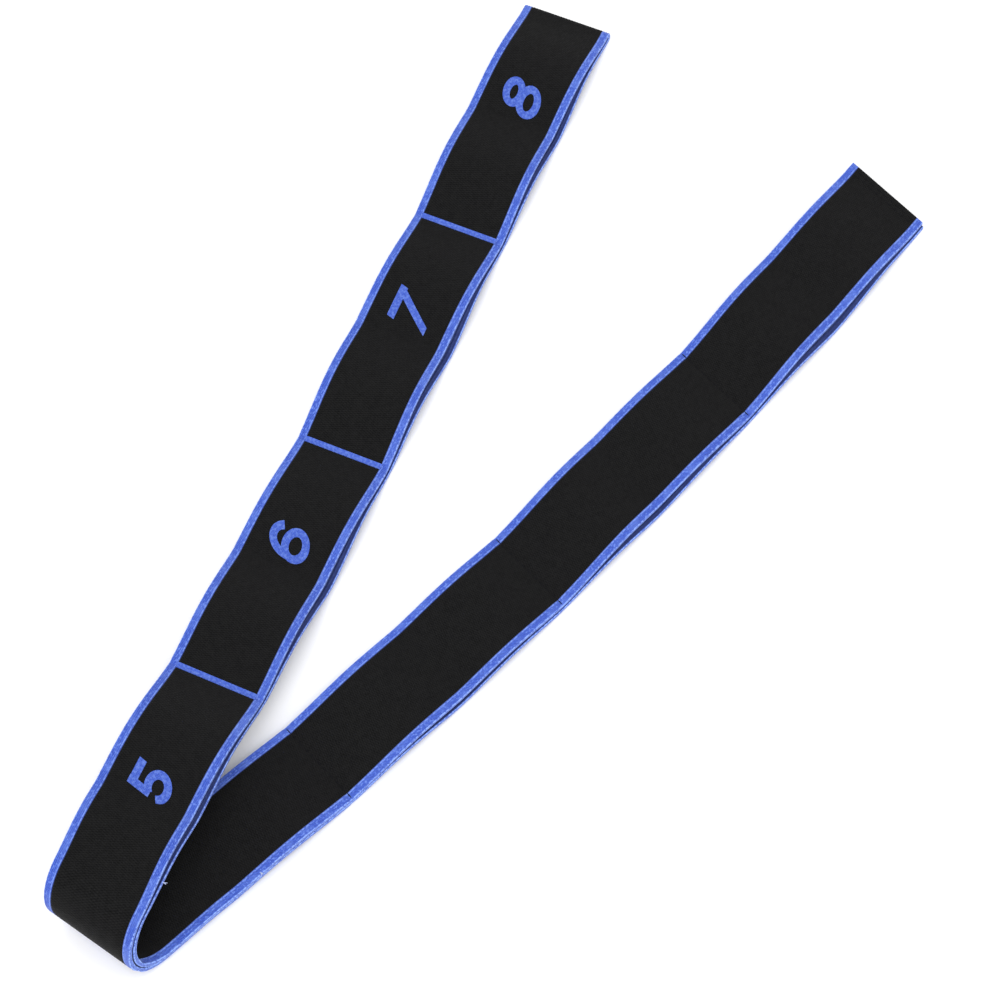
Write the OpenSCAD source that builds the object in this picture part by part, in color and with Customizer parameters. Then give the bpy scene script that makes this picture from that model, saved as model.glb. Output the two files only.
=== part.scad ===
// Elastic stretching strap: a doubled woven tape sewn across into a row of numbered loops.
// It lies folded over in a V, numbered arm on top. Sizes are in millimetres, +Z is up.

/* [Tape] */
// Width of the tape
tape_w = 38; // [30:1:50]
// Thickness of one layer of tape
layer_t = 2; // [1.5:0.1:2.4]
// Width of the blue woven border along each edge
border_w = 3.3; // [2:0.1:6]

/* [Loops] */
// Length of one loop, from seam to seam
pitch = 112; // [100:1:130]
// Space between the two layers in the middle of a resting loop
loop_gap = 2; // [1:0.1:3]
// Space left between two faces that can move apart
clearance = 0.4; // [0.3:0.1:0.6]

/* [Seams] */
// Half length of the sewn neck, where both layers are held together
neck = 7; // [6:0.5:9]
// Width of the blue line across each seam
line_w = 2.8; // [2:0.1:4]
// How far the blue line stands out of the tape
line_t = 0.2; // [0.1:0.05:0.4]
// Length of tape past the last seam at the cut end
hem_l = 6; // [4:0.5:12]
// Length of one hem stitch
stitch_l = 2.4; // [1.5:0.1:3]
// Thickness of the sewing thread
thread_t = 0.5; // [0.3:0.1:0.7]

/* [Lie of the strap] */
// Radius of the open turn, to the middle of the strap
turn_r = 12.5; // [11:0.5:16]
// Direction of the strap's fold, from +X
heading = 54.3; // [40:0.1:70]
// Angle between each arm and that direction, at the turn
skew = 12.5; // [11:0.5:14]
// Distance in which the upper arm comes down to the table
descent = 175; // [160:5:220]
// Sideways drift of the far end of the plain arm
plain_drift = 41; // [20:1:60]
// Height of the waves in the numbered arm
numbered_wave = 4.5; // [1:0.5:6]
// Height of the waves in the plain arm
plain_wave = 2.5; // [1:0.5:4]

/* [Numerals] */
// Height of a numeral, across the tape
numeral_h = 15; // [10:0.5:18]
// Width of a numeral
numeral_w = 11; // [8:0.5:13]
// Width of a numeral's stroke
stroke_w = 3.1; // [2:0.1:4]
// Thickness of the printed colour
ink_t = 0.2; // [0.1:0.05:0.3]
// Lean of the numerals
slant = 16; // [0:1:20]
// Place of a numeral along its loop, as a share of the pitch
numeral_at = 0.6; // [0.5:0.01:0.7]

/* [Hidden] */
loops = 8;
turn_loop = 4;
turn_u = turn_loop * pitch;
end_u = loops * pitch;
quarter = PI * turn_r / 2;
half_w = tape_w / 2;
web_half = half_w - border_w;
seam_gap = 0.3;
seam_h = seam_gap / 2 + layer_t;
plain_bend = 2 * plain_drift / pow(turn_u - quarter, 2);
wave_fade = 40;
face_steps = 16;
neck_steps = 4;
arc_steps = 8;
ink_lift = 0.5;
line_lift = 0.05;
probe = 0.5;
tape_colour = [0.13, 0.13, 0.14];
blue = [0.30, 0.42, 0.88];
thread_colour = [0.08, 0.08, 0.12];

// ---- the lie of the strap ----
// u runs along the strap from the first seam, v across it and h out of its numbered side.

function smooth(x) = let (t = min(max(x, 0), 1)) t * t * (3 - 2 * t);

// space between the two layers
function gap(u) = seam_gap + (u > 0 && u < end_u ? loop_gap * pow(sin(180 * u / pitch), 2) : 0);

// rise of the strap between the places where it touches the table
function wave(u, arm) =
    (u < 0 ? 0 : u < turn_u ? plain_wave : numbered_wave)
    * pow(abs(sin(360 * u / pitch)), 1.5) * smooth(arm / wave_fade);

// side view of the middle of the strap: how far out from the turn, and how high
function side(u, s) =
    let (
        arm = max(abs(s) - quarter, 0),
        angle = s / turn_r * 180 / PI,
        out = abs(s) <= quarter ? -turn_r * cos(angle) : arm,
        lift = s < -quarter ? 0
            : s > quarter ? 2 * turn_r * (1 - smooth(arm / descent))
            : turn_r * (1 + sin(angle)))
    [out, lift + wave(u, arm) + layer_t + gap(u) / 2];

function lie(u, v, h) =
    let (
        s = (u - turn_u) * cos(skew) + v * sin(skew),
        ds = probe * cos(skew),
        c = side(u, s),
        t = side(u + probe, s + ds) - side(u - probe, s - ds),
        out = c[0] - h * t[1] / norm(t),
        up = c[1] + h * t[0] / norm(t),
        drift = s < 0 ? plain_bend * pow(max(out, 0), 2) / 2 : 0,
        across = v * cos(skew) - (u - turn_u) * sin(skew) - drift)
    [out * cos(heading) + across * sin(heading), out * sin(heading) - across * cos(heading), up];

// the strap's own middle, so that it stands over the origin
outline = [
    for (u = [-hem_l, turn_u, end_u + seam_h], v = [-half_w, half_w], h = [-seam_h, seam_h])
        lie(u, v, h)];
middle = [for (i = [0, 1]) (min([for (q = outline) q[i]]) + max([for (q = outline) q[i]])) / 2];

function place(u, v, h) = lie(u, v, h) - [middle[0], middle[1], 0];

// ---- building blocks ----

// A solid swept through stations, each four points in order round its section.
module swept(rings) {
    n = len(rings);
    walls = [
        for (i = [0:n - 2], j = [0:3])
            let (a = 4 * i + j, b = 4 * i + (j + 1) % 4, c = a + 4, d = b + 4)
            each (j == 3 ? [[a, d, b], [a, c, d]] : [[a, c, b], [b, c, d]])];
    last = 4 * (n - 1);
    caps = [[0, 1, 2], [0, 2, 3], [last, last + 2, last + 1], [last, last + 3, last + 2]];
    polyhedron(points = [for (r = rings) each r], faces = concat(walls, caps));
}

// A strip of the tape between two distances across it. Each station is an inner and an outer [u, h].
module strip(stations, v0, v1) {
    swept([for (s = stations) [
        place(s[0][0], v0, s[0][1]), place(s[0][0], v1, s[0][1]),
        place(s[1][0], v1, s[1][1]), place(s[1][0], v0, s[1][1])]]);
}

// The woven middle, or the pair of borders, along the same stations.
module web(stations) { strip(stations, -web_half, web_half); }
module borders(stations) {
    strip(stations, -half_w, -web_half);
    strip(stations, web_half, half_w);
}

function spread(a, b, steps) = [for (i = [0:steps]) a + (b - a) * i / steps];

// ---- loops ----

// The upper face of a loop lifts: the plain one on the plain arm, the numbered one on the other.
// The loop in the turn opens downwards instead, because the other arm lies on it.
function front_lifts(k) = k >= turn_loop;

// ends of a face, with room where it moves past a neck
function low_end(k, lifts) = (k - 1) * pitch + neck + (lifts || k > turn_loop ? clearance : 0);
function high_end(k, lifts) = k * pitch - neck - (lifts || k < turn_loop ? clearance : 0);

function face_stations(k, front) =
    let (lifts = front == front_lifts(k))
    [for (u = spread(low_end(k, lifts), high_end(k, lifts), face_steps))
        let (inner = gap(u) / 2, outer = inner + layer_t)
        front ? [[u, inner], [u, outer]] : [[u, -outer], [u, -inner]]];

module front_face(k) { color(tape_colour) web(face_stations(k, true)); }
module back_face(k) { color(tape_colour) web(face_stations(k, false)); }
module front_border(k) { color(blue) borders(face_stations(k, true)); }
module back_border(k) { color(blue) borders(face_stations(k, false)); }

// ---- seams ----

function block_stations(distances) = [for (u = distances) [[u, -seam_h], [u, seam_h]]];

// A neck reaches its parent loop's faces, which is the side nearer the turn.
function neck_low(k) = k * pitch - neck + (k < turn_loop ? clearance / 2 : 0);
function neck_high(k) = k * pitch + neck - (k >= turn_loop ? clearance / 2 : 0);
function neck_stations(k) = block_stations(spread(neck_low(k), neck_high(k), neck_steps));

module cross_seam(k) {
    color(tape_colour) web(neck_stations(k));
}

module cross_line(k) {
    color(blue) {
        borders(neck_stations(k));
        strip([for (u = spread(k * pitch - line_w / 2, k * pitch + line_w / 2, 2))
            [[u, seam_h + line_lift], [u, seam_h + line_lift + line_t]]],
            line_lift - web_half, web_half - line_lift);
    }
}

// ---- ends ----

// The tape runs out to the fold, round it and back.
function fold_stations() = concat(
    [for (u = spread(end_u - neck, end_u, 2)) [[u, seam_gap / 2], [u, seam_h]]],
    [for (i = [1:arc_steps]) let (a = 180 * i / arc_steps)
        [[end_u + seam_gap / 2 * sin(a), seam_gap / 2 * cos(a)],
         [end_u + seam_h * sin(a), seam_h * cos(a)]]],
    [for (u = [end_u - neck / 2, end_u - neck]) [[u, -seam_gap / 2], [u, -seam_h]]]);

module end_fold() { color(tape_colour) web(fold_stations()); }
module end_fold_border() { color(blue) borders(fold_stations()); }

// The hem lies flat on the table as far as the first seam.
function hem_stations() = block_stations(concat([-hem_l], spread(0, neck, neck_steps / 2)));

module end_hem() { color(tape_colour) web(hem_stations()); }
module end_hem_border() { color(blue) borders(hem_stations()); }

// Two rows of stitches on the upper side of the hem.
module hem_stitches() {
    stitches = floor(2 * web_half / (stitch_l * 1.6));
    color(thread_colour)
        for (row = [-hem_l / 3, -2 * hem_l / 3], i = [0:stitches - 1]) {
            v = (i - (stitches - 1) / 2) * stitch_l * 1.6;
            strip([for (u = [row - thread_t / 2, row + thread_t / 2])
                [[u, -seam_h - thread_t / 2], [u, -seam_h]]], v - stitch_l / 2, v + stitch_l / 2);
        }
}

// ---- numerals ----
// Each is one or more strokes, in a box one wide and one high.

function arc(x, y, rx, ry, from, to) =
    [for (i = [0:arc_steps]) let (a = from + (to - from) * i / arc_steps) [x + rx * cos(a), y + ry * sin(a)]];

// the two halves overlap a little, so that they join
function ring(x, y, rx, ry) = [arc(x, y, rx, ry, -4, 184), arc(x, y, rx, ry, 176, 364)];

strokes = [
    [[[0.6, 1.12], [0.6, -0.12]], [[0.15, 0.8], [0.55, 1]]],
    [concat(arc(0.5, 0.7, 0.5, 0.3, 170, -30), [[0.05, 0.1]]), [[-0.15, 0], [1.15, 0]]],
    [arc(0.45, 0.76, 0.45, 0.24, 150, -80), arc(0.45, 0.26, 0.5, 0.26, 80, -150)],
    [[[0.75, -0.12], [0.75, 1.12]], [[0.7, 1], [0, 0.35]], [[-0.15, 0.3], [1.15, 0.3]]],
    [[[1.1, 1], [0.05, 1]], [[0.17, 1], [0.12, 0.5]], arc(0.45, 0.32, 0.5, 0.32, 135, -150)],
    concat([arc(0.75, 0.4, 0.75, 0.65, 100, 175)], ring(0.5, 0.3, 0.5, 0.3)),
    [[[-0.15, 1], [1.15, 1]], [[0.95, 1], [0.35, -0.12]]],
    concat(ring(0.5, 0.27, 0.5, 0.27), ring(0.5, 0.77, 0.4, 0.23))];

// direction of a path at one of its points
function along(path, i) =
    let (d = path[min(i + 1, len(path) - 1)] - path[max(i - 1, 0)]) d / norm(d);

// one side of a stroke
function edge(path, offset) =
    [for (i = [0:len(path) - 1]) let (d = along(path, i)) path[i] + [-d[1], d[0]] * offset];

module stroke(path) {
    back = edge(path, -stroke_w / 2);
    polygon(concat(edge(path, stroke_w / 2), [for (i = [len(back) - 1:-1:0]) back[i]]));
}

// A flat plate of colour, laid along the front of its loop.
module numeral(k) {
    box = [numeral_w - stroke_w, numeral_h - stroke_w];
    u = (k - 1 + numeral_at) * pitch;
    top = gap(u) / 2 + layer_t + ink_lift;
    reach = numeral_w / 2;
    at = place(u, 0, top);
    right = place(u + reach, 0, top) - place(u - reach, 0, top);
    x = right / norm(right);
    n = cross(place(u, -reach, top) - at, x);
    z = -n / norm(n);
    y = cross(z, x);
    lean = tan(slant);
    color(blue)
        multmatrix([[x[0], y[0], z[0], at[0]], [x[1], y[1], z[1], at[1]], [x[2], y[2], z[2], at[2]]])
            linear_extrude(ink_t)
                for (points = strokes[k - 1])
                    stroke([for (q = points)
                        let (down = (q[1] - 0.5) * box[1]) [(q[0] - 0.5) * box[0] + down * lean, down]]);
}

for (k = [1:loops]) {
    front_face(k);
    back_face(k);
    front_border(k);
    back_border(k);
    numeral(k);
}
for (k = [1:loops - 1]) {
    cross_seam(k);
    cross_line(k);
}
end_fold();
end_fold_border();
end_hem();
end_hem_border();
hem_stitches();
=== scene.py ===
"""A stretching strap of doubled woven tape: blue borders, sewn seams, numerals, hem and stage.

Everything is in metres, +Z up. Each piece is first shaped flat, in the strap's own coordinates:
u runs along the strap from the first seam, v across it, and h out of its numbered side.
The same formulas that lay the strap on the table then carry it to its place.
"""

import math

import bmesh
import bpy
import numpy as np
from mathutils import Matrix, Vector


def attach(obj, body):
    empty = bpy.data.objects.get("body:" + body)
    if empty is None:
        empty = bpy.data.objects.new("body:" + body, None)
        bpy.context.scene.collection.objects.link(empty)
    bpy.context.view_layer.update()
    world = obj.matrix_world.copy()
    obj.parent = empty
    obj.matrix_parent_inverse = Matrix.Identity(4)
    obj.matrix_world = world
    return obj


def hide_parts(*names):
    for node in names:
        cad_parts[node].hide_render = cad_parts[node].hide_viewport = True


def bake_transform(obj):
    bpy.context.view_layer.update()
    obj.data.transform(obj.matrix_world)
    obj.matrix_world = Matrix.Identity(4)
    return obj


bl_info = {
    "name": "Stretching strap",
    "version": (1, 0, 0),
    "blender": (4, 5, 0),
    "location": "3D View > Sidebar > Strap",
    "description": "Builds a looped stretching strap of woven tape around its frame",
    "category": "Add Mesh",
}

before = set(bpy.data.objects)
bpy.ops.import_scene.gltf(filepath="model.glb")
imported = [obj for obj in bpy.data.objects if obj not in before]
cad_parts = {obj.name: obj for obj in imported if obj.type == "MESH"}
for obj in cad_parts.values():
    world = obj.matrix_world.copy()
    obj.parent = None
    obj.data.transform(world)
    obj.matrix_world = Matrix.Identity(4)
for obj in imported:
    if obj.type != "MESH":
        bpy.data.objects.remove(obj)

LOOPS = range(1, 9)
SEAMS = range(1, 8)
TURN = 4  # the seam at the open turn
MM = 0.001

# How finely the tape is cut into faces
ROW = 2.4 * MM  # length of one row of faces along a loop
NECK_ROW = 0.7 * MM  # the same at a seam and at the ends, where the tape bends
STROKE_ROW = 0.5 * MM  # the same along the stroke of a numeral
STROKE_COLUMNS = 10
LINE_ROWS = 8
LINE_COLUMNS = 96

# Radii of the rounded long edges
WEB_EDGE = 0.25 * MM
BORDER_EDGE = 0.22 * MM
LINE_EDGE = 0.15 * MM

# How deep a piece that lies on the tape reaches into it
LINE_SUNK = 0.2 * MM
NUMERAL_SUNK = 0.1 * MM

# How the tape wanders sideways between its seams
WANDER = 0.4 * MM
WANDER_LENGTHS = (23 * MM, 61 * MM)

NEAR = 1e-7  # closer than this is the same place

# Short pale ends of thread: loop, distance along the strap, distance past the right-hand edge,
# and height as a share of a seam's half thickness
THREAD_ENDS = {
    "thread_end_lower": (4, 0.380, -0.2 * MM, -1.05),
    "thread_end_upper": (5, 0.478, 0.35 * MM, -0.6),
}


# ---- settings ----


def size(name, description, default):
    return bpy.props.FloatProperty(
        name=name, description=description, default=default, unit="LENGTH", precision=5
    )


def angle(name, description, degrees):
    return bpy.props.FloatProperty(
        name=name, description=description, default=math.radians(degrees), unit="ROTATION"
    )


def colour(name, description, default):
    return bpy.props.FloatVectorProperty(
        name=name, description=description, default=default, subtype="COLOR", min=0, max=1
    )


def number(name, description, default):
    return bpy.props.FloatProperty(name=name, description=description, default=default)


class StrapTape(bpy.types.PropertyGroup):
    """Sizes of the tape, its loops and its seams."""

    width: size("Tape width", "Width of the tape", 0.038)
    layer: size("Layer", "Thickness of one layer of tape", 0.002)
    border: size("Border", "Width of the blue border along each edge", 0.0033)
    pitch: size("Pitch", "Length of one loop, from seam to seam", 0.112)
    loop_gap: size("Loop gap", "Room for the space between the layers of a loop", 0.002)
    slack: size("Slack", "How far the two layers of a resting loop really bulge apart", 0.001)
    seam_gap: size("Seam gap", "Space between the layers at a seam", 0.0003)
    neck: size("Neck", "Half length of the sewn part at a seam", 0.007)
    hem: size("Hem", "Length of tape past the last seam at the cut end", 0.006)
    line: size("Cross line", "Width of the blue line across a seam", 0.0028)
    line_rise: size("Line rise", "How far the blue line stands out of the tape", 0.0003)
    hidden_seam: size("Hidden seam", "How far the seam at the turn sits before its crest", 0.0098)
    pinch: size("Pinch", "How far the stitches pull each layer in", 0.00045)
    sway: size("Sway", "How far each layer shifts sideways in the middle of a loop", 0.0008)
    sewn_sway: size("Sewn sway", "How far each layer is shifted sideways at a seam", 0.00035)
    web_ribs: bpy.props.IntProperty(
        name="Web ribs", description="Ribs across the black middle", default=26
    )
    border_ribs: bpy.props.IntProperty(
        name="Border ribs", description="Ribs across one blue border", default=3
    )
    web_rib: size("Web rib", "Depth of the ribs in the black middle", 0.00008)
    border_rib: size("Border rib", "Depth of the ribs in the borders", 0.00022)


class StrapLie(bpy.types.PropertyGroup):
    """How the strap lies on the table."""

    turn_radius: size("Turn radius", "Radius of the open turn", 0.0125)
    heading: angle("Heading", "Direction of the fold, from +X", 54.3)
    skew: angle("Skew", "Angle between each arm and the heading", 12.5)
    descent: size("Descent", "Distance in which the upper arm comes down", 0.175)
    plain_drift: size("Plain drift", "Sideways drift of the far end of the lower arm", 0.041)
    numbered_wave: size("Numbered wave", "Height of the waves in the upper arm", 0.0045)
    plain_wave: size("Plain wave", "Height of the waves in the lower arm", 0.0025)
    wave_fade: size("Wave fade", "Distance from the turn in which the waves begin", 0.04)


class StrapPrint(bpy.types.PropertyGroup):
    """Sizes of the numerals and the stitches."""

    height: size("Numeral height", "Height of a numeral, across the tape", 0.017)
    width: size("Numeral width", "Width of a numeral", 0.0136)
    stroke: size("Stroke", "Width of a numeral's stroke", 0.0032)
    rise: size("Rise", "How far a numeral stands out of the tape", 0.00025)
    slant: angle("Slant", "Lean of the numerals", 16)
    at: number("Place", "Place of a numeral along its loop, as a share of the pitch", 0.6)
    five_at: number("Place of the 5", "The same for the 5, which sits nearer the turn", 0.555)
    stitch: size("Stitch", "Length of one stitch", 0.0026)
    stitch_step: size("Stitch step", "Distance from one stitch to the next", 0.0034)
    thread: size("Thread", "Thickness of the sewing thread", 0.0005)


class StrapColours(bpy.types.PropertyGroup):
    """Colours of the yarns, the thread and the stage."""

    web: colour("Web", "Black yarn on the crests of the weave", (0.0090, 0.0089, 0.0092))
    web_deep: colour("Web deep", "Black yarn between the crests", (0.0015, 0.0015, 0.0017))
    blue: colour("Blue", "Blue yarn", (0.043, 0.105, 0.55))
    blue_deep: colour("Blue deep", "Blue yarn in the hollows of the weave", (0.010, 0.032, 0.24))
    # blue_pale is painted highlight on the borders' edges and inner rib, and random pale patches in
    # the yarn elsewhere
    blue_pale: colour("Blue pale", "Blue yarn where it is worn along the edges", (0.26, 0.41, 0.92))
    thread: colour("Thread", "Sewing thread", (0.0060, 0.0060, 0.0080))
    thread_pale: colour("Pale thread", "Stray ends of undyed thread", (0.55, 0.60, 0.80))
    floor: colour("Floor", "Plain pale floor", (0.95, 0.95, 0.95))


class StrapStage(bpy.types.PropertyGroup):
    """Camera and lights."""

    look_at: bpy.props.FloatVectorProperty(
        name="Look at", description="Point in the middle of the view", unit="LENGTH",
        default=(-0.00505, -0.02024, 0),
    )
    elevation: angle("Elevation", "Height of the camera above the horizon", 62)
    distance: size("Distance", "Distance from the camera to that point", 1.225)
    lens: number("Lens", "Focal length in millimetres", 114.4)
    sky: number("Sky", "Strength of the light from all round", 1.0)
    sun: number("Key light", "Strength of the large soft key light", 1.5)
    sun_size: angle("Key size", "Apparent size of the key light", 50)
    sun_tilt: angle("Key tilt", "How far the key light leans towards the camera", 28)
    sun_lean: angle("Key lean", "How far the key light leans to the right", -8)


GROUPS = {
    "strap_tape": StrapTape,
    "strap_lie": StrapLie,
    "strap_print": StrapPrint,
    "strap_colours": StrapColours,
    "strap_stage": StrapStage,
}


def tape():
    return bpy.context.scene.strap_tape


def half_width():
    return tape().width / 2


def web_half():
    return half_width() - tape().border


def seam_height():
    """Distance from the middle of a seam to the tape's outer side."""
    return tape().seam_gap / 2 + tape().layer


# ---- the lie of the strap ----


def smooth(x):
    t = np.clip(x, 0, 1)
    return t * t * (3 - 2 * t)


def loop_bulge(u):
    """Space that a resting loop adds between its two layers."""
    end = len(LOOPS) * tape().pitch
    inside = (u > 0) & (u < end)
    return np.where(inside, tape().loop_gap * np.sin(np.pi * u / tape().pitch) ** 2, 0)


def side_view(u, s):
    """How far out from the turn the middle of the strap is, and how high."""
    lay = bpy.context.scene.strap_lie
    r = lay.turn_radius
    quarter = np.pi * r / 2
    arm = np.maximum(np.abs(s) - quarter, 0)
    turned = np.clip(s / r, -np.pi / 2, np.pi / 2)
    out = np.where(np.abs(s) <= quarter, -r * np.cos(turned), arm)
    descending = 2 * r * (1 - smooth(arm / lay.descent))
    lift = np.where(s > quarter, descending, r * (1 + np.sin(turned)))
    lift = np.where(s < -quarter, 0, lift)
    height = np.where(u < TURN * tape().pitch, lay.plain_wave, lay.numbered_wave)
    wave = height * np.abs(np.sin(2 * np.pi * u / tape().pitch)) ** 1.5
    wave = np.where(u < 0, 0, wave) * smooth(arm / lay.wave_fade)
    rest = tape().layer + (tape().seam_gap + loop_bulge(u)) / 2
    return np.stack([out, lift + wave + rest], -1)


def lie(u, v, h):
    """Places points given along, across and out of the strap, before it is centred."""
    lay = bpy.context.scene.strap_lie
    u, v, h = np.broadcast_arrays(*(np.asarray(x, float) for x in (u, v, h)))
    turn = TURN * tape().pitch
    c, s = np.cos(lay.skew), np.sin(lay.skew)
    along = (u - turn) * c + v * s
    at = side_view(u, along)
    probe = 0.5 * MM
    ahead = side_view(u + probe, along + probe * c)
    slope = ahead - side_view(u - probe, along - probe * c)
    slope /= np.linalg.norm(slope, axis=-1)[..., None]
    out = at[..., 0] - h * slope[..., 1]
    up = at[..., 1] + h * slope[..., 0]
    bend = 2 * lay.plain_drift / (turn - np.pi * lay.turn_radius / 2) ** 2
    drift = np.where(along < 0, bend * np.maximum(out, 0) ** 2 / 2, 0)
    across = v * c - (u - turn) * s - drift
    ch, sh = np.cos(lay.heading), np.sin(lay.heading)
    return np.stack([out * ch + across * sh, out * sh - across * ch, up], -1)


def middle():
    """The strap's own middle, which stands over the origin."""
    end = len(LOOPS) * tape().pitch
    sh = seam_height()
    corners = [
        lie(u, v, h)
        for u in (-tape().hem, TURN * tape().pitch, end + sh)
        for v in (-half_width(), half_width())
        for h in (-sh, sh)
    ]
    centre = (np.min(corners, axis=0) + np.max(corners, axis=0)) / 2
    return np.array([centre[0], centre[1], 0])


def place(u, v, h):
    return lie(u, v, h) - middle()


def ribs(v):
    """Height of the weave's lengthwise ribs, below their crests."""
    t = tape()
    inner = web_half()
    web = t.web_rib * (np.cos(2 * np.pi * t.web_ribs * (v / inner + 1) / 2) + 1) / 2
    share = np.clip((np.abs(v) - inner) / t.border, 0, 1)
    border = t.border_rib * (1 - np.abs(np.sin(np.pi * t.border_ribs * share)))
    return np.where(np.abs(v) > inner + NEAR, border, web)


def seam_at(k):
    """Where the stitches of a seam are; those at the turn sit a little before its crest."""
    return k * tape().pitch - (tape().hidden_seam if k == TURN else 0)


def sideways(u, out, loose):
    """Sideways shift of a layer, out of the numbered side (1) or the plain side (-1)."""
    t = tape()
    return out * (t.sway * loose + t.sewn_sway) * np.cos(u / (2 * t.pitch))


def relax(flat):
    """Gives the flat shape what the weave and the sewing do to it, before it is laid out."""
    t = tape()
    u, v, h = flat.T
    out = np.sign(h)
    sewn = np.min([np.abs(u - seam_at(k)) for k in SEAMS], axis=0)
    pulled = t.pinch * np.exp(-((sewn / (0.55 * t.line)) ** 2))
    thickness = np.clip((np.abs(h) - t.seam_gap / 2) / t.layer, 0, 1)

    # 1 on the layer's outer side and -1 on its inner side, so that the ribs cut into both
    outer = smooth((thickness - 0.4) / 0.4) - smooth((0.4 - thickness) / 0.3)
    loose = np.sin(np.pi * np.clip(u, 0, len(LOOPS) * t.pitch) / t.pitch) ** 2
    short, long = WANDER_LENGTHS
    wander = WANDER * loose * np.sin(u / short) * np.cos(u / long)
    shift = sideways(u, out, loose) + wander
    height = np.abs(h) - pulled * thickness - outer * ribs(v) + loose * t.slack / 2
    return np.stack([u, v + shift, out * height], -1)


# ---- making pieces ----


def live(edges):
    """These edges in the same order, without doubles or removed ones."""
    return list(dict.fromkeys(e for e in edges if e.is_valid))


def slab(bm, low, high, along, across, edge=0.0):
    """A box between two corners, cut evenly into steps, with its four long edges rounded."""
    low, high = Vector(low), Vector(high)
    box = Matrix.Translation((low + high) / 2) @ Matrix.Diagonal((*(high - low), 1))
    verts = bmesh.ops.create_cube(bm, size=1, matrix=box)["verts"]
    edges = live(e for v in verts for e in v.link_edges)

    def parallel(axis):
        return [
            e for e in edges
            if abs((e.verts[0].co - e.verts[1].co).normalized()[axis]) > 0.99
        ]

    if across > 1:
        cut = bmesh.ops.subdivide_edges(
            bm, edges=parallel(1), cuts=across - 1, use_grid_fill=True
        )
        edges = live(edges + [e for e in cut["geom"] if isinstance(e, bmesh.types.BMEdge)])
    if edge:
        corners = [
            e for e in parallel(0)
            if min(abs(e.verts[0].co.y - low.y), abs(e.verts[0].co.y - high.y)) < NEAR
        ]
        made = bmesh.ops.bevel(
            bm, geom=corners, offset=edge, segments=3, profile=0.5, affect="EDGES", material=-1
        )
        edges = live(edges + [e for f in made["faces"] for e in f.edges])
    bmesh.ops.subdivide_edges(bm, edges=parallel(0), cuts=along - 1, use_grid_fill=True)


def piece(name, bm, material, shape=relax):
    """Makes an object of a flat shape, laid where the strap lies.

    Its flat coordinates stay on it as the attribute "tape", which the weaves follow. Laying it
    out mirrors it, so its faces are turned over.
    """
    bmesh.ops.recalc_face_normals(bm, faces=bm.faces)
    mesh = bpy.data.meshes.new(name)
    bm.to_mesh(mesh)
    bm.free()
    flat = np.empty(len(mesh.vertices) * 3, np.float32)
    mesh.vertices.foreach_get("co", flat)
    mesh.attributes.new("tape", "FLOAT_VECTOR", "POINT").data.foreach_set("vector", flat)
    shaped = shape(flat.reshape(-1, 3).astype(float))
    mesh.vertices.foreach_set("co", place(*shaped.T).astype(np.float32).ravel())
    mesh.flip_normals()
    mesh.shade_smooth()
    mesh.set_sharp_from_angle(angle=math.radians(60))
    mesh.materials.append(material)
    obj = bpy.data.objects.new(name, mesh)
    strap_collection().objects.link(obj)
    return obj


def strap_collection():
    found = bpy.data.collections.get("strap")
    if not found:
        found = bpy.data.collections.new("strap")
        bpy.context.scene.collection.children.link(found)
    return found


def layer_heights(front):
    """Inner and outer side of one layer of tape, lower value first."""
    inner, outer = tape().seam_gap / 2, seam_height()
    return (inner, outer) if front else (-outer, -inner)


def steps(length, step):
    return max(2, round(length / step))


def web_strip(bm, u0, u1, front, row=ROW):
    """The black middle of one layer, from u0 to u1."""
    h0, h1 = layer_heights(front)
    low, high = (u0, -web_half(), h0), (u1, web_half(), h1)
    slab(bm, low, high, steps(u1 - u0, row), 2 * tape().web_ribs, WEB_EDGE)


def border_strips(bm, u0, u1, front, row=ROW):
    """The two borders of one layer, from u0 to u1."""
    h0, h1 = layer_heights(front)
    columns = 4 * tape().border_ribs
    for v0, v1 in ((-half_width(), -web_half()), (web_half(), half_width())):
        slab(bm, (u0, v0, h0), (u1, v1, h1), steps(u1 - u0, row), columns, BORDER_EDGE)


def both_layers(strip, u0, u1):
    """A strip of the front layer and the same of the back layer, where they are sewn together."""
    bm = bmesh.new()
    for front in (True, False):
        strip(bm, u0, u1, front, NECK_ROW)
    return bm


# ---- materials ----


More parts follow.
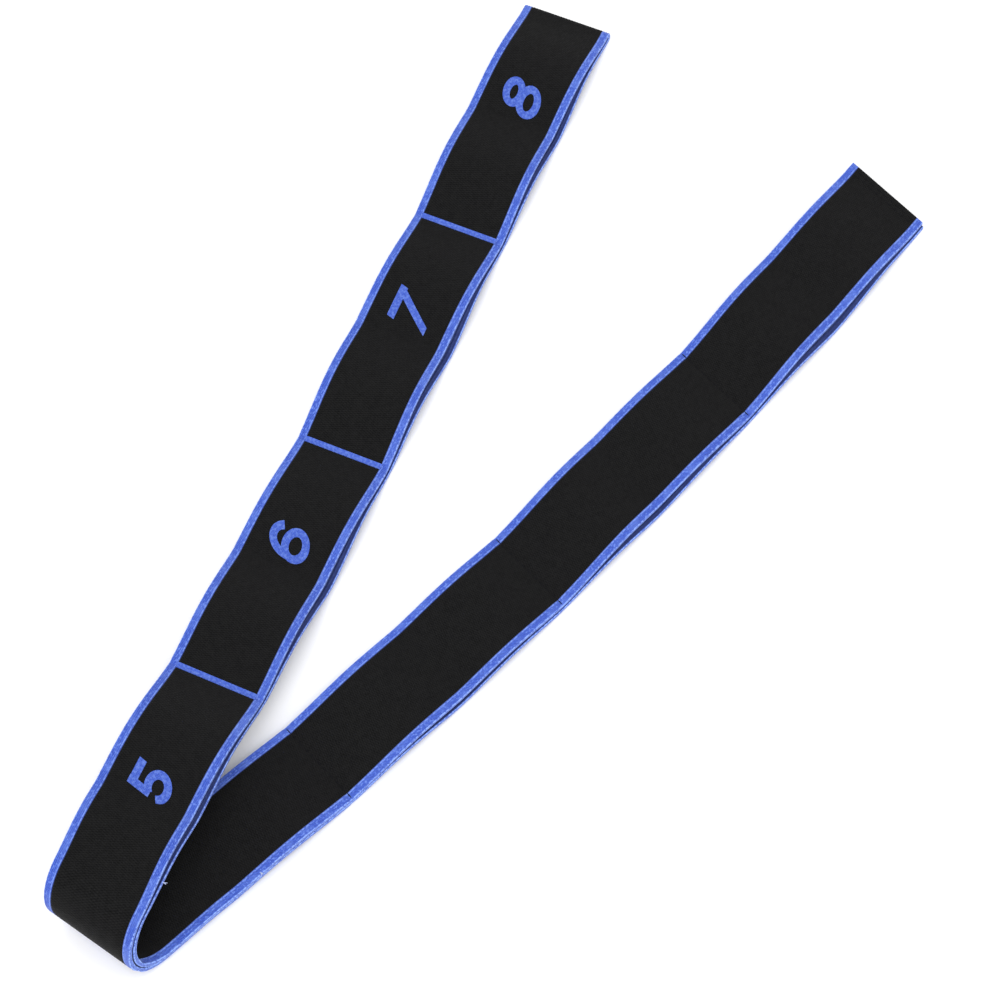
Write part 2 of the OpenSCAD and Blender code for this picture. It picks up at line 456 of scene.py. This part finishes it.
class Finish:
    """Shorthand for one material's nodes, with the tape's own coordinates in millimetres."""

    def __init__(self, name):
        self.material = bpy.data.materials.new(name)
        self.material.use_nodes = True
        self.tree = self.material.node_tree
        self.shader = self.tree.nodes["Principled BSDF"]
        coordinates = self.tree.nodes.new("ShaderNodeAttribute")
        coordinates.attribute_name = "tape"
        scale = self.tree.nodes.new("ShaderNodeVectorMath")
        scale.operation = "SCALE"
        scale.inputs["Scale"].default_value = 1 / MM
        self.join(coordinates.outputs["Vector"], scale.inputs[0])
        self.point = scale.outputs[0]
        split = self.tree.nodes.new("ShaderNodeSeparateXYZ")
        self.join(self.point, split.inputs[0])
        self.u, self.v, self.h = split.outputs

    def join(self, source, target):
        self.tree.links.new(source, target)

    def math(self, operation, *values):
        node = self.tree.nodes.new("ShaderNodeMath")
        node.operation = operation
        for socket, value in zip(node.inputs, values):
            if isinstance(value, bpy.types.NodeSocket):
                self.join(value, socket)
            else:
                socket.default_value = value
        return node.outputs[0]

    def ramp(self, value, start, end, low=0.0, high=1.0):
        """Smoothly from low to high, as value goes from start to end."""
        node = self.tree.nodes.new("ShaderNodeMapRange")
        node.interpolation_type = "SMOOTHSTEP"
        limits = {"From Min": start, "From Max": end, "To Min": low, "To Max": high}
        for name, limit in limits.items():
            node.inputs[name].default_value = limit
        self.join(value, node.inputs["Value"])
        return node.outputs[0]

    def noise(self, cells, detail=2.0, stretch=(1, 1, 1)):
        """Noise with this many cells a millimetre."""
        mapping = self.tree.nodes.new("ShaderNodeMapping")
        mapping.inputs["Scale"].default_value = stretch
        self.join(self.point, mapping.inputs["Vector"])
        node = self.tree.nodes.new("ShaderNodeTexNoise")
        node.inputs["Scale"].default_value = cells
        node.inputs["Detail"].default_value = detail
        self.join(mapping.outputs[0], node.inputs["Vector"])
        return node.outputs["Fac"]

    def mix(self, factor, a, b):
        node = self.tree.nodes.new("ShaderNodeMix")
        node.data_type = "RGBA"
        self.join(factor, node.inputs[0])
        for socket, value in ((node.inputs[6], a), (node.inputs[7], b)):
            if isinstance(value, bpy.types.NodeSocket):
                self.join(value, socket)
            else:
                socket.default_value = (*value, 1)
        return node.outputs[2]

    def threads(self, lean, period):
        """A row of threads, from 0 between them to 1 on their crests.

        They lie across the tape with no lean and slant more with a greater one.
        """
        slanted = self.math("MULTIPLY_ADD", self.v, lean, self.u)
        turns = self.math("MULTIPLY", slanted, math.pi / period)
        return self.math("ABSOLUTE", self.math("SINE", turns))

    def finish(self, base, roughness, height, depth, sheen, specular=0.35):
        """Joins up the shader; height is the weave's relief and depth its size in metres."""
        self.join(base, self.shader.inputs["Base Color"])
        self.join(roughness, self.shader.inputs["Roughness"])
        self.shader.inputs["Sheen Weight"].default_value = sheen
        self.shader.inputs["Sheen Roughness"].default_value = 0.5
        self.shader.inputs["Specular IOR Level"].default_value = specular
        bump = self.tree.nodes.new("ShaderNodeBump")
        bump.inputs["Strength"].default_value = 0.8
        bump.inputs["Distance"].default_value = depth
        self.join(height, bump.inputs["Height"])
        self.join(bump.outputs[0], self.shader.inputs["Normal"])
        return self.material


def black_web():
    """Matt black elastic: lengthwise ribs crossed by fine picks, with a few pale fibres."""
    c = bpy.context.scene.strap_colours
    f = Finish("Black elastic")
    pick = 0.9
    rib = 2 * web_half() / MM / tape().web_ribs
    picks = f.math("SINE", f.math("MULTIPLY", f.u, 2 * math.pi / pick))
    columns = f.math("SINE", f.math("MULTIPLY", f.v, math.pi / rib))
    weave = f.math("MULTIPLY_ADD", f.math("MULTIPLY", picks, columns), 0.5, 0.5)
    patchy = f.noise(0.35, 3.0)
    fibres = f.noise(2.6, 3.0)
    height = f.math("MULTIPLY_ADD", fibres, 0.7, weave)
    tone = f.math("MULTIPLY_ADD", weave, 0.35, f.math("MULTIPLY", fibres, 0.65))
    base = f.mix(f.ramp(tone, 0.25, 0.75), tuple(c.web_deep), tuple(c.web))
    fuzz = f.math("MULTIPLY", f.ramp(fibres, 0.62, 0.8), f.ramp(patchy, 0.35, 0.7))
    pale_fibre = (0.032, 0.032, 0.035)
    base = f.mix(f.math("MULTIPLY", fuzz, 0.6), base, pale_fibre)
    rough = f.ramp(patchy, 0.3, 0.7, 0.82, 0.95)
    return f.finish(base, rough, height, 0.12 * MM, 0.03, 0.12)


def blue_border():
    """Blue selvedge yarn: slanted threads, a dark line beside the web deepened with painted shade,
    painted shade between the layers, and a painted highlight along its edges and inner rib.
    """
    c = bpy.context.scene.strap_colours
    f = Finish("Blue border yarn")
    twill = f.threads(0.8, 0.75)
    fibres = f.noise(2.2, 3.0, (0.5, 1.6, 1))
    specks = f.noise(1.5, 3.0, (0.8, 1.1, 1.1))
    patchy = f.noise(0.16, 2.0)
    height = f.math("MULTIPLY_ADD", fibres, 0.6, twill)
    mottle = f.math("MULTIPLY", f.math("ADD", fibres, specks), 0.5)
    tone = f.math("MULTIPLY_ADD", twill, 0.4, mottle)
    base = f.mix(f.ramp(tone, 0.35, 0.9), tuple(c.blue_deep), tuple(c.blue))
    across = f.math("ABSOLUTE", f.v)
    depth = f.math("ABSOLUTE", f.h)
    inner, outer, top = (x / MM for x in (web_half(), half_width(), seam_height()))

    # Paler in two ways: a painted highlight on the two corners of the outer side and on the crest
    # of the inner rib, broken up by specks; and random pale flecks and patches of the yarn
    corners = f.ramp(f.math("ABSOLUTE", f.math("SUBTRACT", depth, top - 1)), 0.4, 0.9, 0.3, 1)
    highlight_painted = f.math("MULTIPLY", f.ramp(across, outer - 0.4, outer - 0.12), corners)
    rising = f.ramp(across, inner + 0.3, inner + 0.6)
    falling = f.ramp(across, inner + 1.1, inner + 0.7)
    crest = f.math("MULTIPLY", rising, falling)
    highlight_painted = f.math("MAXIMUM", highlight_painted, f.math("MULTIPLY", crest, 0.55))
    highlight_painted = f.math("MULTIPLY", highlight_painted, f.ramp(specks, 0.38, 0.58, 0.15, 1))
    flecks = f.math("MULTIPLY", f.ramp(specks, 0.54, 0.68), 0.4)
    lit = f.math("MAXIMUM", flecks, f.math("MULTIPLY", f.ramp(patchy, 0.45, 0.7), 0.15))
    base = f.mix(f.math("MAXIMUM", highlight_painted, lit), base, tuple(c.blue_pale))

    # Nearly black beside the web, where the yarn's own dark line is deepened with painted groove
    # shade, and painted shade on the hidden side between the layers
    under = f.ramp(depth, top - 1.7, top - 1.95)
    hidden = f.math("MULTIPLY", under, f.ramp(across, outer - 0.2, outer - 0.45))
    beside = f.ramp(across, inner + 0.42, inner + 0.1)
    dark_line_and_painted_shade = f.math("MAXIMUM", beside, f.math("MULTIPLY", hidden, 0.8))
    navy_and_painted_shade = (0.004, 0.007, 0.040)
    base = f.mix(dark_line_and_painted_shade, base, navy_and_painted_shade)
    rough = f.ramp(fibres, 0.3, 0.7, 0.55, 0.75)
    return f.finish(base, rough, height, 0.1 * MM, 0.15)


def blue_line():
    """Blue yarn across the seam, laid side by side along the tape."""
    c = bpy.context.scene.strap_colours
    f = Finish("Blue line yarn")
    rows = f.threads(6.0, 3.2)
    fibres = f.noise(2.2, 3.0, (0.5, 2, 1))
    patchy = f.noise(0.9, 2.0)
    tone = f.math("MULTIPLY_ADD", rows, 0.5, f.math("MULTIPLY", fibres, 0.7))
    base = f.mix(f.ramp(tone, 0.15, 0.8), tuple(c.blue_deep), tuple(c.blue))
    base = f.mix(f.math("MULTIPLY", f.ramp(patchy, 0.4, 0.7), 0.25), base, tuple(c.blue_pale))
    height = f.math("MULTIPLY_ADD", fibres, 0.6, rows)
    return f.finish(base, f.ramp(fibres, 0.3, 0.7, 0.5, 0.7), height, 0.1 * MM, 0.15)


def blue_ink():
    """Blue numeral yarn: a close weave that shows through the colour, paler here and there."""
    c = bpy.context.scene.strap_colours
    f = Finish("Blue numeral")
    crosswise, lengthwise = f.threads(0.0, 0.6), f.threads(1000.0, 600.0)
    weave = f.math("MULTIPLY", crosswise, lengthwise)
    fibres = f.noise(2.4, 3.0)
    patchy = f.noise(0.9, 2.0)
    tone = f.math("MULTIPLY_ADD", weave, 0.45, f.math("MULTIPLY", fibres, 0.75))
    base = f.mix(f.ramp(tone, 0.1, 0.8), tuple(c.blue_deep), tuple(c.blue))
    base = f.mix(f.math("MULTIPLY", f.ramp(patchy, 0.4, 0.7), 0.25), base, tuple(c.blue_pale))
    height = f.math("MULTIPLY_ADD", fibres, 0.6, weave)
    return f.finish(base, f.ramp(fibres, 0.3, 0.7, 0.5, 0.7), height, 0.08 * MM, 0.12)


def sewing_thread():
    """Dark twisted sewing thread with a slight shine."""
    c = bpy.context.scene.strap_colours
    f = Finish("Sewing thread")
    twist = f.threads(1.5, 0.3)
    between = (0.003, 0.003, 0.004)
    base = f.mix(twist, between, tuple(c.thread))
    return f.finish(base, f.ramp(twist, 0, 1, 0.8, 0.6), twist, 0.05 * MM, 0.0, 0.1)


def pale_thread():
    """Undyed twisted thread, fuzzy and matt."""
    c = bpy.context.scene.strap_colours
    f = Finish("Pale thread")
    twist = f.threads(1.5, 0.3)
    between = (0.25, 0.30, 0.50)
    base = f.mix(twist, between, tuple(c.thread_pale))
    return f.finish(base, f.ramp(twist, 0, 1, 0.9, 0.7), twist, 0.05 * MM, 0.2)


def pale_floor():
    """Plain pale floor with the faintest tooth."""
    material = bpy.data.materials.new("Pale floor")
    material.use_nodes = True
    tree = material.node_tree
    shader = tree.nodes["Principled BSDF"]
    shader.inputs["Base Color"].default_value = (*bpy.context.scene.strap_colours.floor, 1)
    shader.inputs["Specular IOR Level"].default_value = 0.1
    grain = tree.nodes.new("ShaderNodeTexNoise")
    grain.inputs["Scale"].default_value = 40
    coordinates = tree.nodes.new("ShaderNodeTexCoord")
    rough = tree.nodes.new("ShaderNodeMapRange")
    rough.inputs["To Min"].default_value = 0.85
    tree.links.new(coordinates.outputs["Object"], grain.inputs["Vector"])
    tree.links.new(grain.outputs["Fac"], rough.inputs["Value"])
    tree.links.new(rough.outputs[0], shader.inputs["Roughness"])
    return material


FINISHES = {
    "Black elastic": black_web,
    "Blue border yarn": blue_border,
    "Blue line yarn": blue_line,
    "Blue numeral": blue_ink,
    "Sewing thread": sewing_thread,
    "Pale thread": pale_thread,
}


def finish(name):
    """The material of that name, made the first time it is asked for."""
    return bpy.data.materials.get(name) or FINISHES[name]()


# ---- how pieces follow the frame ----


def seam_span(k, half):
    """Two points across a seam, just inside its neck."""
    u = k * tape().pitch
    centre = place(u, 0, 0)
    line = place(u, half_width() / 4, 0) - place(u, -half_width() / 4, 0)
    line /= np.linalg.norm(line)
    ahead = place(u + MM, 0, 0) - place(u - MM, 0, 0)
    ahead -= line * (ahead @ line)
    ahead /= np.linalg.norm(ahead)
    ends = []
    for sign in (-1, 1):
        reach = [
            sign * (place(u + sign * half, v, h) - centre) @ ahead
            for v in (-half_width(), half_width())
            for h in (-seam_height(), seam_height())
        ]
        ends.append(tuple(centre + ahead * sign * min(reach)))
    return ends


def front_lifts(k):
    """Whether a loop opens by its front; the upper face lifts, the front from the turn on."""
    return k >= TURN


def follow(obj, k, half):
    """Fixes a piece of one face to its loop; half is "low", "high" or None for a whole face.

    Only a whole face is fixed to its loop; a half is not, and its place is only baked into its
    mesh.
    """
    if half is None:
        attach(obj, f"loop_{k}")
        return
    t = tape()
    seam = (k - 1) * t.pitch + t.neck if half == "low" else k * t.pitch - t.neck
    start = place(seam, 0, 0)
    end = place((k - 0.5) * t.pitch, 0, 0)
    start[2] = end[2] = 0
    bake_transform(obj)


def face_parts(k, front):
    """The stretches that one face is made in: two halves where it lifts, or one whole."""
    low = (k - 1) * tape().pitch + tape().neck
    high = k * tape().pitch - tape().neck
    mid = (k - 0.5) * tape().pitch
    if front_lifts(k) == front:
        return [("low", low, mid), ("high", mid, high)]
    return [(None, low, high)]


# ---- operators ----


class StrapLoops(bpy.types.Operator):
    """Weave the two faces of each loop, with their borders"""

    bl_idname = "strap.loops"
    bl_label = "Loops"

    def execute(self, context):
        for k in LOOPS:
            for front in (True, False):
                self.face(k, front)
        return {"FINISHED"}

    def face(self, k, front):
        side = "front" if front else "back"
        for half, u0, u1 in face_parts(k, front):
            tail = f"_{half}_half" if half else ""
            bm = bmesh.new()
            border_strips(bm, u0, u1, front)
            border = piece(f"{side}_border_{k}_yarn{tail}", bm, finish("Blue border yarn"))
            bm = bmesh.new()
            web_strip(bm, u0, u1, front)
            web = piece(f"{side}_web_{k}{tail}", bm, finish("Black elastic"))
            for obj, node, slot in (
                (web, f"{side}_face_{k}", "black_elastic"),
                (border, f"{side}_border_{k}", "blue_yarn"),
            ):
                follow(obj, k, half)
                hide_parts(node)


def stitch_row(bm, u, h, reach):
    """A row of stitches across the tape, half sunk in its surface."""
    p = bpy.context.scene.strap_print
    count = int(2 * reach / p.stitch_step)
    for i in range(count):
        v = (i - (count - 1) / 2) * p.stitch_step
        grow = Matrix.Diagonal((p.thread / 2, p.stitch / 2, 0.8 * p.thread / 2, 1))
        bmesh.ops.create_icosphere(
            bm, subdivisions=2, radius=1, matrix=Matrix.Translation((u, v, h)) @ grow
        )


class StrapSeams(bpy.types.Operator):
    """Sew the loops apart: pinched necks, blue cross lines and the rows of stitches"""

    bl_idname = "strap.seams"
    bl_label = "Seams"

    def execute(self, context):
        for k in SEAMS:
            self.seam(k)
        return {"FINISHED"}

    def seam(self, k):
        t = tape()
        ends = k * t.pitch - t.neck, k * t.pitch + t.neck
        border_mesh = both_layers(border_strips, *ends)
        border = piece(f"neck_border_{k}", border_mesh, finish("Blue border yarn"))
        web = piece(f"neck_web_{k}", both_layers(web_strip, *ends), finish("Black elastic"))
        sewn = seam_at(k)
        top = seam_height()
        onto_border = 0.6 * MM
        reach = web_half() + onto_border
        low = (sewn - t.line / 2, -reach, top - LINE_SUNK)
        high = (sewn + t.line / 2, reach, top + t.line_rise)
        bm = bmesh.new()
        slab(bm, low, high, LINE_ROWS, LINE_COLUMNS, LINE_EDGE)
        line = piece(f"cross_line_{k}_yarn", bm, finish("Blue line yarn"), satin)
        bm = bmesh.new()
        stitch_row(bm, sewn, -top, half_width())
        stitches = piece(f"seam_stitches_{k}", bm, finish("Sewing thread"))
        start, end = seam_span(k, t.neck)
        for obj, slot in (
            (web, "black_elastic"), (border, "blue_yarn"),
            (line, "blue_yarn"), (stitches, "thread"),
        ):
            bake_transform(obj)
        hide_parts(f"cross_seam_{k}")
        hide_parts(f"cross_line_{k}")


def satin(flat):
    """The raised yarn of a cross line: a low crown with a ripple for each thread."""
    t = tape()
    top = seam_height()
    shaped = relax(np.minimum(flat, [np.inf, np.inf, top]))
    share = np.min([np.abs(flat[:, 0] - seam_at(k)) for k in SEAMS], axis=0) / (t.line / 2)
    rise = np.maximum(flat[:, 2] - top, 0) * np.sqrt(1 - 0.75 * np.clip(share, 0, 1) ** 2)
    depth, length = 0.05 * MM, 0.65 * MM
    ripple = depth * np.sin(2 * np.pi * flat[:, 1] / length) * (flat[:, 2] > top)
    shaped[:, 2] += rise + ripple + 0.3 * t.pinch
    return shaped


class StrapEnds(bpy.types.Operator):
    """Close the strap: the fold at one end, the hem at the other, and two stray thread ends"""

    bl_idname = "strap.ends"
    bl_label = "Ends"

    def execute(self, context):
        self.fold()
        self.hem()
        for name, facts in THREAD_ENDS.items():
            self.thread_end(name, *facts)
        return {"FINISHED"}

    def thread_end(self, name, k, u, out, share):
        """Two crossed wisps of pale thread at the right-hand edge."""
        at = Matrix.Translation((u, half_width() + out, share * seam_height()))
        tilt = Matrix.Rotation(math.radians(25), 4, "Y")
        thin = 0.36 * bpy.context.scene.strap_print.thread
        bm = bmesh.new()
        for lean, length in ((65, 1.3 * MM), (110, 1.0 * MM)):
            turn = Matrix.Rotation(math.radians(lean), 4, "Z") @ tilt
            grow = Matrix.Diagonal((length, thin, thin, 1))
            bmesh.ops.create_icosphere(bm, subdivisions=2, radius=1, matrix=at @ turn @ grow)
        obj = piece(name, bm, finish("Pale thread"))
        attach(obj, f"loop_{k}")

    def fold(self):
        length = 2 * tape().neck + round_the_end()
        bm = bmesh.new()
        border_strips(bm, 0, length, True, NECK_ROW)
        border = piece("end_fold_border_yarn", bm, finish("Blue border yarn"), wrap)
        bm = bmesh.new()
        web_strip(bm, 0, length, True, NECK_ROW)
        web = piece("end_fold_web", bm, finish("Black elastic"), wrap)
        for obj, node, slot in (
            (web, "end_fold", "black_elastic"), (border, "end_fold_border", "blue_yarn"),
        ):
            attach(obj, f"loop_{LOOPS[-1]}")
            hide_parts(node)

    def hem(self):
        t = tape()
        inner = web_half()
        border_mesh = both_layers(border_strips, -t.hem, t.neck)
        border = piece("end_hem_border_yarn", border_mesh, finish("Blue border yarn"))
        web = piece("end_hem_web", both_layers(web_strip, -t.hem, t.neck), finish("Black elastic"))
        bm = bmesh.new()
        for row in (1, 2):
            stitch_row(bm, -row * t.hem / 3, -seam_height(), inner)
        stitches = piece("hem_stitch_rows", bm, finish("Sewing thread"))
        for obj, node, slot in (
            (web, "end_hem", "black_elastic"), (border, "end_hem_border", "blue_yarn"),
            (stitches, "hem_stitches", "thread"),
        ):
            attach(obj, "loop_1")
            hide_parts(node)


def round_the_end():
    """Length of the tape that goes over the end fold."""
    return math.pi * seam_height() / 2


def wrap(flat):
    """Carries a strip along the front layer, over the end fold and back along the other layer."""
    t = tape()
    end = len(LOOPS) * t.pitch
    over = round_the_end()
    s, v, height = flat.T
    outer = smooth(((height - t.seam_gap / 2) / t.layer - 0.4) / 0.4)
    height = height - outer * ribs(v)
    turned = np.clip((s - t.neck) / over, 0, 1) * np.pi
    before = np.minimum(s - t.neck, 0)
    after = np.maximum(s - t.neck - over, 0)
    u = end + before - after + height * np.sin(turned)
    out = np.cos(turned)
    return np.stack([u, v + sideways(u, out, 0), height * out], -1)


def curve(x, y, rx, ry, start, end):
    """Points of an ellipse's arc round x, y, from one angle to another in degrees."""
    a = np.radians(np.linspace(start, end, 25))
    return np.stack([x + rx * np.cos(a), y + ry * np.sin(a)], -1)


def straight(*points):
    return np.array(points, float)


# The strokes of each numeral, in a box one wide and one high. Straight strokes that reach past
# the box are cut off level with it.
STROKES = {
    1: [straight((0.62, 1.2), (0.62, -0.2)), straight((0.1, 0.72), (0.6, 1))],
    2: [
        np.concatenate([curve(0.5, 0.7, 0.48, 0.3, 170, -30), straight((0.08, 0.05))]),
        straight((-0.16, 0), (1.16, 0)),
    ],
    3: [curve(0.45, 0.76, 0.45, 0.24, 150, -80), curve(0.45, 0.26, 0.5, 0.26, 80, -150)],
    4: [
        straight((0.75, -0.2), (0.75, 1.2)),
        straight((0.75, 1.05), (0, 0.33)),
        straight((-0.16, 0.28), (1.16, 0.28)),
    ],
    5: [
        straight((1.0, 0.99), (0.02, 0.99)),
        straight((0.16, 1.2), (0.145, 0.43)),
        curve(0.52, 0.296, 0.446, 0.288, 142, -164),
    ],
    6: [curve(0.46, 0.573, 0.51, 0.489, 38, 195), curve(0.46, 0.325, 0.51, 0.31, 0, 360)],
    7: [straight((-0.16, 1), (1.16, 1)), straight((1.12, 1.2), (0.11, -0.2))],
    8: [curve(0.47, 0.25, 0.54, 0.27, 0, 360), curve(0.5, 0.79, 0.46, 0.235, 0, 360)],
}


class StrapNumerals(bpy.types.Operator):
    """Lay the numeral of each loop on its front"""

    bl_idname = "strap.numerals"
    bl_label = "Numerals"

    def execute(self, context):
        for k in LOOPS:
            self.numeral(k)
        return {"FINISHED"}

    def numeral(self, k):
        bm = bmesh.new()
        for rank, path in enumerate(STROKES[k]):
            self.stroke(bm, k, path, rank)
        obj = piece(f"numeral_{k}_yarn", bm, finish("Blue numeral"), crown)
        follow(obj, k, "high" if front_lifts(k) else None)
        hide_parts(f"numeral_{k}")

    def stroke(self, bm, k, path, rank):
        """One stroke, as a slab bent along its path and a hair above the stroke before it."""
        p = bpy.context.scene.strap_print
        box = np.array([p.width - p.stroke, p.height - p.stroke])
        points = (path - 0.5) * box
        far = np.concatenate([[0], np.cumsum(np.linalg.norm(np.diff(points, axis=0), axis=1))])
        hair = 0.01 * MM
        low = (0, -p.stroke / 2, -NUMERAL_SUNK)
        high = (far[-1], p.stroke / 2, p.rise + hair * rank)
        own = bmesh.new()
        slab(own, low, high, steps(far[-1], STROKE_ROW), STROKE_COLUMNS)
        closed = np.linalg.norm(points[0] - points[-1]) < NEAR
        for vert in own.verts:
            s, side, h = vert.co
            at = np.array([np.interp(s, far, points[:, i]) for i in (0, 1)])
            ahead = self.heading(points, far, s, closed)
            vert.co = (*(at + side * np.array([-ahead[1], ahead[0]])), h)
        if len(path) == 2:
            for level in (Vector((p.width / 2, 0, 0)), Vector((0, p.height / 2, 0))):
                for end in (level, -level):
                    self.trim(own, end)
        share = p.five_at if k == 5 else p.at
        for vert in own.verts:
            x, y, h = vert.co
            u = (k - 1 + share) * tape().pitch + x + y * math.tan(p.slant)
            vert.co = (u, -y, seam_height() + h)
        copy = bpy.data.meshes.new("stroke")
        own.to_mesh(copy)
        own.free()
        bm.from_mesh(copy)
        bpy.data.meshes.remove(copy)

    def trim(self, bm, end):
        """Cuts off what lies past a point and closes the cut."""
        cut = bmesh.ops.bisect_plane(
            bm, geom=bm.verts[:] + bm.edges[:] + bm.faces[:], plane_co=end, plane_no=end,
            clear_outer=True,
        )
        rim = [e for e in cut["geom_cut"] if isinstance(e, bmesh.types.BMEdge)]
        bmesh.ops.holes_fill(bm, edges=rim)

    def heading(self, points, far, s, closed):
        """Direction of a path at a distance along it."""
        reach = 0.3 * MM
        ends = np.array([s - reach, s + reach])
        ends = ends % far[-1] if closed else np.clip(ends, 0, far[-1])
        a, b = (np.array([np.interp(e, far, points[:, i]) for i in (0, 1)]) for e in ends)
        return (b - a) / np.linalg.norm(b - a)


def crown(flat):
    """Lays a numeral on the ribbed face of its loop."""
    base = relax(np.minimum(flat, [np.inf, np.inf, seam_height()]))
    base[:, 2] += flat[:, 2] - seam_height()
    return base


class StrapStageUp(bpy.types.Operator):
    """Set the pale floor, the soft lights and the camera"""

    bl_idname = "strap.stage"
    bl_label = "Stage"

    def execute(self, context):
        scene = context.scene
        stage = scene.strap_stage
        scene.view_settings.view_transform = "Standard"
        self.floor()
        world = bpy.data.worlds.new("Soft sky")
        scene.world = world
        world.use_nodes = True
        sky = world.node_tree.nodes["Background"]
        sky.inputs["Color"].default_value = (1, 1, 1, 1)
        sky.inputs["Strength"].default_value = stage.sky
        lamp = bpy.data.lights.new("Key light", "SUN")
        lamp.energy = stage.sun
        lamp.angle = stage.sun_size
        key = bpy.data.objects.new("Key light", lamp)
        key.rotation_euler = (stage.sun_tilt, stage.sun_lean, 0)
        scene.collection.objects.link(key)
        self.camera(scene, stage)
        return {"FINISHED"}

    def camera(self, scene, stage):
        camera = bpy.data.objects.new("Camera", bpy.data.cameras.new("Camera"))
        camera.data.lens = stage.lens
        camera.data.clip_end = 20
        back = Vector((0, -math.cos(stage.elevation), math.sin(stage.elevation)))
        camera.location = Vector(stage.look_at) + back * stage.distance
        camera.rotation_euler = (math.pi / 2 - stage.elevation, 0, 0)
        scene.collection.objects.link(camera)
        scene.camera = camera

    def floor(self):
        bm = bmesh.new()
        half_side = 4
        bmesh.ops.create_grid(bm, x_segments=1, y_segments=1, size=half_side)
        mesh = bpy.data.meshes.new("floor")
        bm.to_mesh(mesh)
        bm.free()
        mesh.materials.append(pale_floor())
        obj = bpy.data.objects.new("floor", mesh)
        bpy.context.scene.collection.objects.link(obj)
        obj.modifiers.new("Under the strap", "NODES").node_group = self.floor_height()

    def floor_height(self):
        """Nodes that keep the floor at the strap's lowest point, also when the strap is folded."""
        group = bpy.data.node_groups.new("Floor height", "GeometryNodeTree")
        group.interface.new_socket("Geometry", in_out="INPUT", socket_type="NodeSocketGeometry")
        group.interface.new_socket("Geometry", in_out="OUTPUT", socket_type="NodeSocketGeometry")
        kinds = {
            "enter": "NodeGroupInput", "leave": "NodeGroupOutput",
            "strap": "GeometryNodeCollectionInfo", "solid": "GeometryNodeRealizeInstances",
            "box": "GeometryNodeBoundBox", "low": "ShaderNodeSeparateXYZ",
            "drop": "ShaderNodeCombineXYZ", "move": "GeometryNodeTransform",
        }
        n = {name: group.nodes.new(kind) for name, kind in kinds.items()}
        n["strap"].inputs["Collection"].default_value = strap_collection()
        for source, out, target, into in (
            ("strap", 0, "solid", 0), ("solid", 0, "box", 0), ("box", "Min", "low", 0),
            ("low", "Z", "drop", "Z"), ("enter", 0, "move", "Geometry"),
            ("drop", 0, "move", "Translation"), ("move", 0, "leave", 0),
        ):
            group.links.new(n[source].outputs[out], n[target].inputs[into])
        return group


class StrapPanel(bpy.types.Panel):
    """Buttons that build the strap, in order"""

    bl_idname = "STRAP_PT_build"
    bl_label = "Stretching strap"
    bl_space_type = "VIEW_3D"
    bl_region_type = "UI"
    bl_category = "Strap"

    def draw(self, context):
        for operator in OPERATORS:
            self.layout.operator(operator.bl_idname)
        for name, group in GROUPS.items():
            box = self.layout.box()
            box.label(text=group.__doc__)
            for prop in group.__annotations__:
                box.prop(getattr(context.scene, name), prop)


OPERATORS = (StrapLoops, StrapSeams, StrapEnds, StrapNumerals, StrapStageUp)


def register():
    for cls in (*GROUPS.values(), *OPERATORS, StrapPanel):
        bpy.utils.register_class(cls)
    for name, group in GROUPS.items():
        setattr(bpy.types.Scene, name, bpy.props.PointerProperty(type=group))


def unregister():
    for name in GROUPS:
        delattr(bpy.types.Scene, name)
    for cls in reversed((*GROUPS.values(), *OPERATORS, StrapPanel)):
        bpy.utils.unregister_class(cls)


def main():
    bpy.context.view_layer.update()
    register()
    bpy.ops.strap.loops()
    bpy.ops.strap.seams()
    bpy.ops.strap.ends()
    bpy.ops.strap.numerals()
    bpy.ops.strap.stage()


if __name__ == "__main__":
    main()
